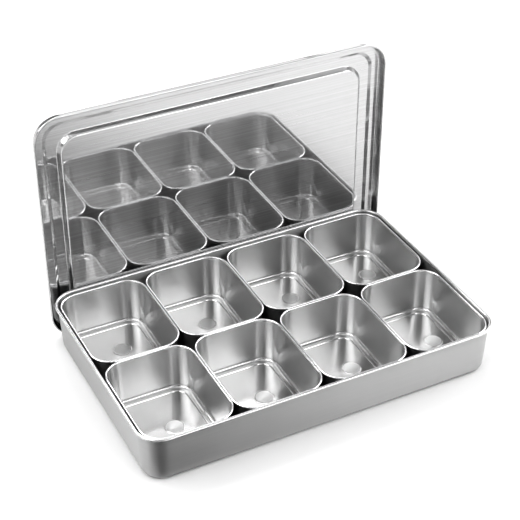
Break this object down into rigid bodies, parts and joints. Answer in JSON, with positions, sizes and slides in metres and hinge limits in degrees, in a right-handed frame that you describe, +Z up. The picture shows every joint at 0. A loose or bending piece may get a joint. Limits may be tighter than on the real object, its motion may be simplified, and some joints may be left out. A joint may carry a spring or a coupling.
{
  "type": "rectangular spice box",
  "caption": "Rectangular stainless steel spice box: a shallow tray holding loose round-cornered pans side by side, with its stamped lid stood upright behind it.",
  "frame": {"origin": "centre of the tray's flat underside, on the surface that the box stands on", "axes": "+Z up out of the tray; +X along its long side, to the right as seen from the front; +Y from the front towards the standing lid"},
  "size_m": [0.4058, 0.2704, 0.269],
  "materials": {
    "tray_steel": "satin stainless sheet, fine grain round the walls, brighter worn rim",
    "pan_steel": "soft-polished stainless sheet, bright rim, glossier floor with a plain frosted disc",
    "lid_steel": "mirror-polished stainless sheet with very fine lengthwise grain"
  },
  "bodies": {
    "tray": {"tray": "tray_steel"},
    "lid": {"lid": "lid_steel"},
    "pan_front_1": {"pan_front_1": "pan_steel"},
    "pan_front_2": {"pan_front_2": "pan_steel"},
    "pan_front_3": {"pan_front_3": "pan_steel"},
    "pan_front_4": {"pan_front_4": "pan_steel"},
    "pan_rear_1": {"pan_rear_1": "pan_steel"},
    "pan_rear_2": {"pan_rear_2": "pan_steel"},
    "pan_rear_3": {"pan_rear_3": "pan_steel"},
    "pan_rear_4": {"pan_rear_4": "pan_steel"}
  },
  "joints": [
    {"name": "pan_front_1_lift", "type": "slide", "parent": "tray", "child": "pan_front_1", "axis": [0, 0, 1], "range_m": [0, 0.06]},
    {"name": "pan_front_2_lift", "type": "slide", "parent": "tray", "child": "pan_front_2", "axis": [0, 0, 1], "range_m": [0, 0.06]},
    {"name": "pan_front_3_lift", "type": "slide", "parent": "tray", "child": "pan_front_3", "axis": [0, 0, 1], "range_m": [0, 0.06]},
    {"name": "pan_front_4_lift", "type": "slide", "parent": "tray", "child": "pan_front_4", "axis": [0, 0, 1], "range_m": [0, 0.06]},
    {"name": "pan_rear_1_lift", "type": "slide", "parent": "tray", "child": "pan_rear_1", "axis": [0, 0, 1], "range_m": [0, 0.06]},
    {"name": "pan_rear_2_lift", "type": "slide", "parent": "tray", "child": "pan_rear_2", "axis": [0, 0, 1], "range_m": [0, 0.06]},
    {"name": "pan_rear_3_lift", "type": "slide", "parent": "tray", "child": "pan_rear_3", "axis": [0, 0, 1], "range_m": [0, 0.06]},
    {"name": "pan_rear_4_lift", "type": "slide", "parent": "tray", "child": "pan_rear_4", "axis": [0, 0, 1], "range_m": [0, 0.06]},
    {"name": "lid_draw_back", "type": "slide", "parent": "tray", "child": "lid", "axis": [0, 1, 0], "range_m": [0, 0.05]}
  ]
}
